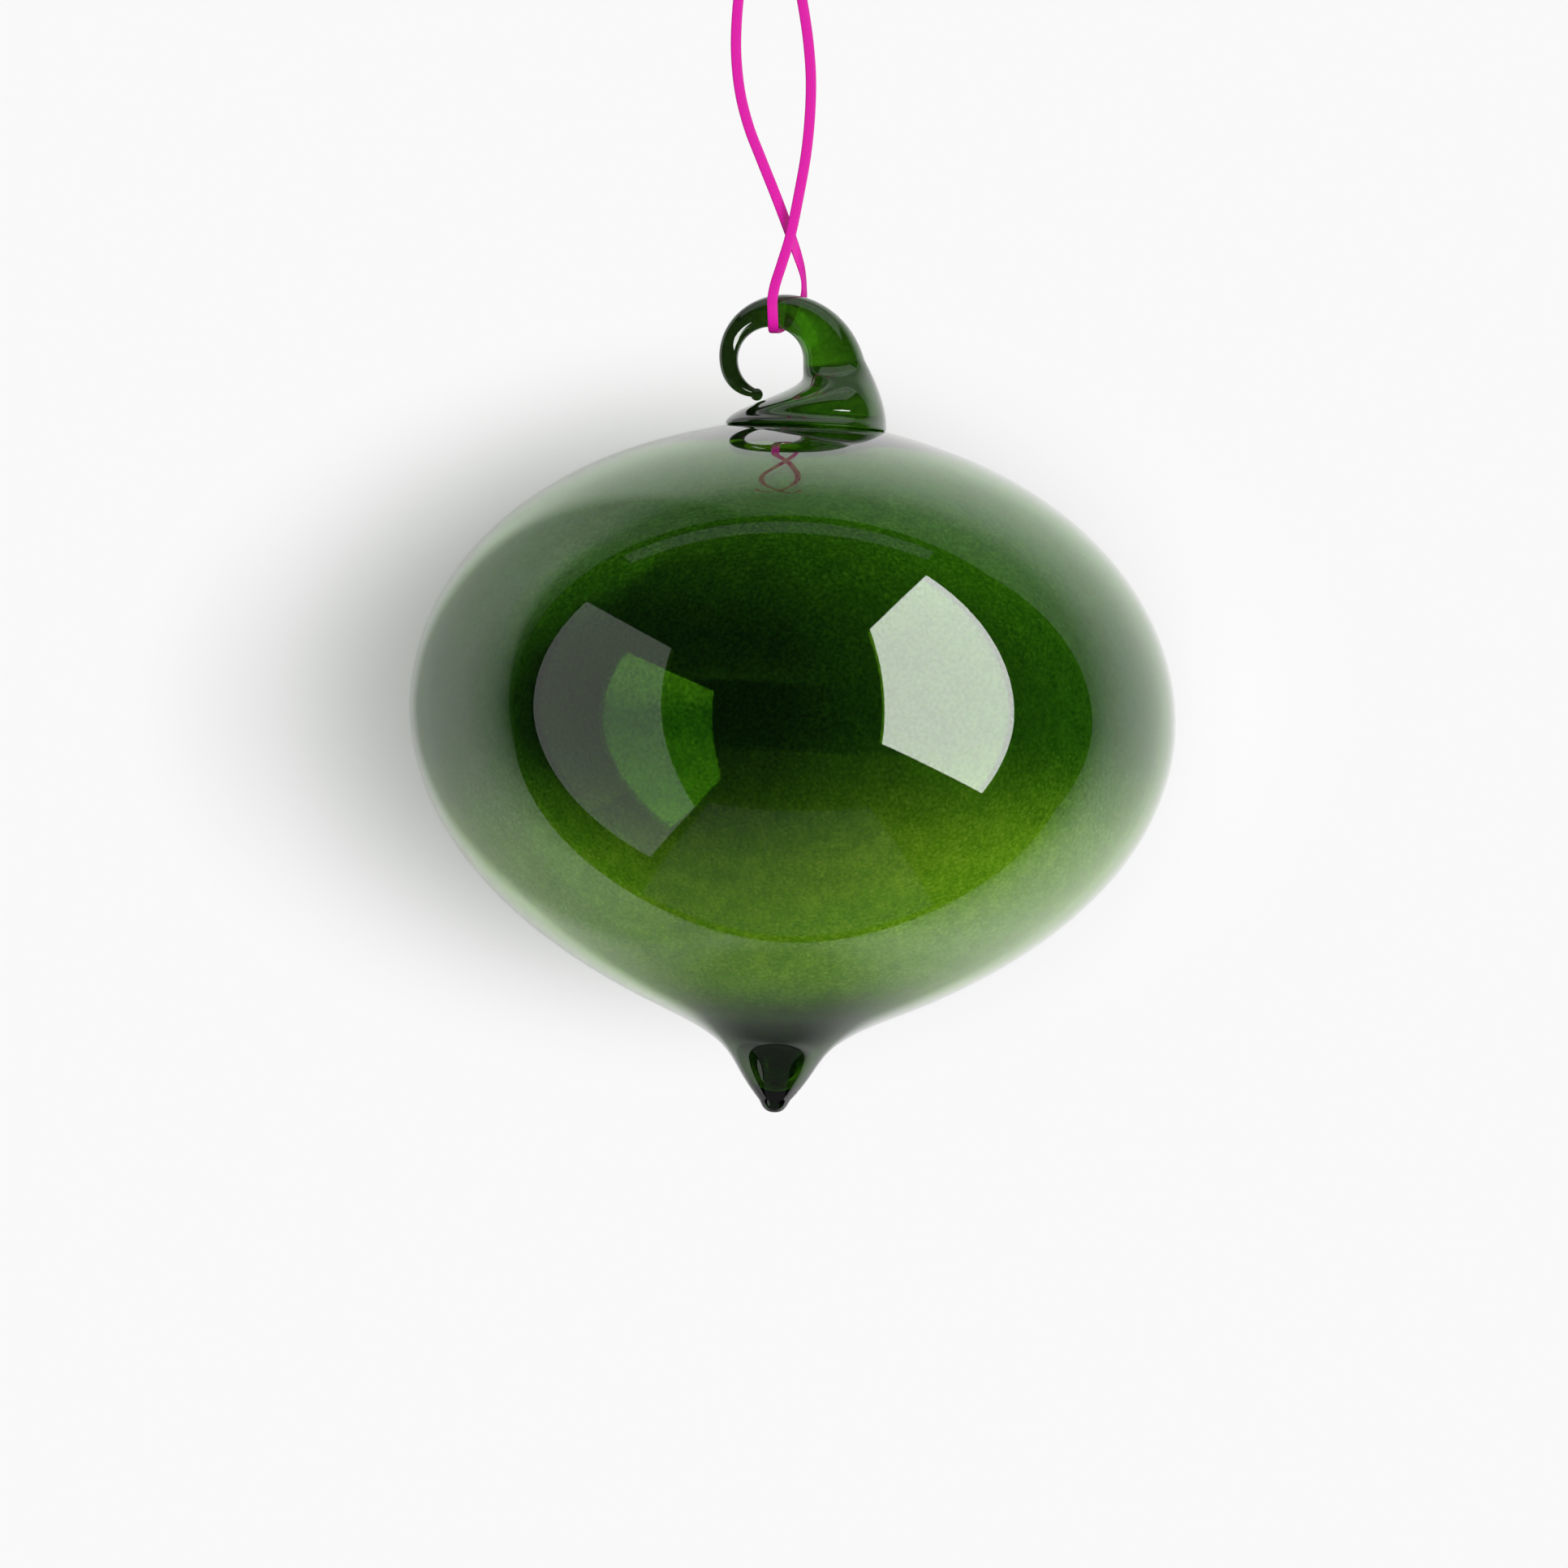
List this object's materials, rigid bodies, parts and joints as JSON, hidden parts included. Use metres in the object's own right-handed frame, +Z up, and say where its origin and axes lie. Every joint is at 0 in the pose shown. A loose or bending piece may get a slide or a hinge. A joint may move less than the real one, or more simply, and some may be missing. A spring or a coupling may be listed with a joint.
{
  "type": "onion-shaped glass bauble",
  "caption": "Hollow blown green glass bauble, onion-shaped with a drawn point, with a curled glass hook on its crown and a narrow pink ribbon loop to hang it by.",
  "frame": {"origin": "top of the inside of the ribbon loop, just under its knot, where the bauble hangs on a branch or a hook", "axes": "+Z up, along the hanging line; +X towards the side of the hook that its foot stands on; the eye of the hook is seen through along Y"},
  "size_m": [0.0799, 0.08, 0.1312],
  "materials": {
    "green_glass": "polished blown glass, deep green with a fine grain of colour",
    "pink_ribbon": "narrow satin ribbon"
  },
  "bodies": {
    "hanger": {"ribbon_knot": "pink_ribbon", "ribbon_tails": "pink_ribbon", "ribbon_front_strand": "pink_ribbon", "ribbon_back_strand": "pink_ribbon"},
    "bight": {"ribbon_bight": "pink_ribbon"},
    "bauble": {"glass_shell": "green_glass", "point_drop": "green_glass", "hook_foot": "green_glass", "hook_curl": "green_glass", "curl_bead": "green_glass"}
  },
  "joints": [
    {"name": "ribbon_twist", "type": "hinge", "parent": "hanger", "child": "bight", "pos_m": [0, 0, -0.0423], "axis": [0, 0, 1], "range_deg": [-170, 170], "deforming": ["ribbon_front_strand", "ribbon_back_strand"]},
    {"name": "eye_swing", "type": "hinge", "parent": "bight", "child": "bauble", "pos_m": [0, 0, -0.0423], "axis": [1, 0, 0], "range_deg": [-30, 30]}
  ]
}
